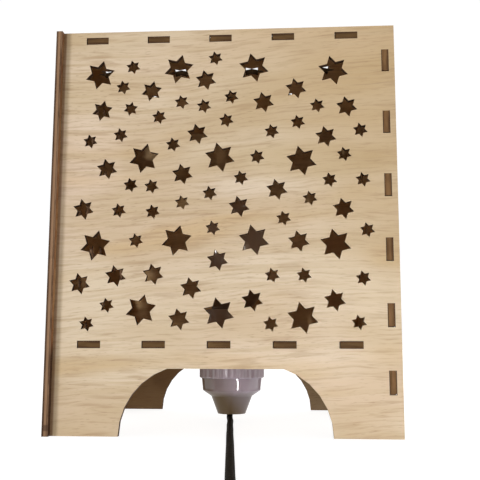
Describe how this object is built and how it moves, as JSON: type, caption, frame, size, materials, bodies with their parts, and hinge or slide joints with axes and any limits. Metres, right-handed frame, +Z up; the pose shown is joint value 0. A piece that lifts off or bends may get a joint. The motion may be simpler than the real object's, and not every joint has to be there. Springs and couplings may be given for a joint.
{
  "type": "star lantern table lamp",
  "caption": "Square plywood table lamp with star cut-outs and corner legs, a lampholder hung in its floor plate, a cord with a rocker switch, and a plug.",
  "frame": {"origin": "on the lamp's vertical axis, level with the bottom of its legs", "axes": "+Z up; the front panel, under which the cord leaves, faces -Y"},
  "size_m": [0.2112, 0.5697, 0.241],
  "materials": {
    "plywood": "unfinished plywood, laser-cut, with charred brown edges",
    "holder_plastic": "smooth white moulding",
    "inner_plastic": "matt white moulding",
    "housing_brown": "dark brown moulding",
    "brass": "pressed and machined brass",
    "steel": "plated steel",
    "nickel": "nickel-plated",
    "insulator": "black glass",
    "board": "circuit board with a white mask",
    "smoked_glass": "dark smoked amber glass",
    "cord": "black sheath",
    "tie": "black hook-and-loop strap",
    "switch_black": "black moulding",
    "rocker": "dark grey moulding"
  },
  "bodies": {
    "lantern": {"back_panel": "plywood", "centre_contact": "brass", "coil_tie": "tie", "contact_insert": "inner_plastic", "cord_coil": "cord", "cord_grip": "inner_plastic", "cord_lead": "cord", "cord_link": "cord", "cord_tail": "cord", "floor_plate": "plywood", "front_panel": "plywood", "holder_cap": "holder_plastic", "holder_mantle": "holder_plastic", "holder_ring_nut": "holder_plastic", "left_panel": "plywood", "live_terminal": "brass", "live_terminal_screw": "steel", "live_wire": "cord", "neutral_terminal": "brass", "neutral_terminal_screw": "steel", "neutral_wire": "cord", "plug_body": "switch_black", "plug_pin_1": "steel", "plug_pin_2": "steel", "plug_relief": "cord", "right_panel": "plywood", "rocker_pin": "steel", "screw_shell": "brass", "switch_base": "switch_black", "switch_contact_leaf": "brass", "switch_cover": "switch_black", "switch_inlet_relief": "cord", "switch_inlet_terminal": "brass", "switch_outlet_relief": "cord", "switch_outlet_terminal": "brass", "switch_screw_1": "steel", "switch_screw_2": "steel", "top_plate": "plywood"},
    "bulb_foot": {"bulb_tip_contact": "nickel"},
    "bulb": {"bulb_insulator": "insulator", "bulb_screw_cap": "nickel", "bulb_housing": "housing_brown", "bulb_driver_board": "board", "bulb_led_board": "board", "bulb_globe": "smoked_glass"},
    "rocker": {"switch_rocker": "rocker"}
  },
  "joints": [
    {"name": "bulb_lift", "type": "slide", "parent": "lantern", "child": "bulb_foot", "axis": [0, 0, 1], "range_m": [0, 0.0109]},
    {"name": "bulb_turn", "type": "hinge", "parent": "bulb_foot", "child": "bulb", "pos_m": [0, 0, 0.0737], "axis": [0, 0, 1], "range_deg": [0, 1080]},
    {"name": "rocker_tilt", "type": "hinge", "parent": "lantern", "child": "rocker", "pos_m": [0.03, -0.3896, 0.0116], "axis": [-1, 0, 0], "range_deg": [0, 16]}
  ],
  "couplings": [
    {"joint": "bulb_lift", "follows": "bulb_turn", "m_per_rad": 0.00057757}
  ]
}
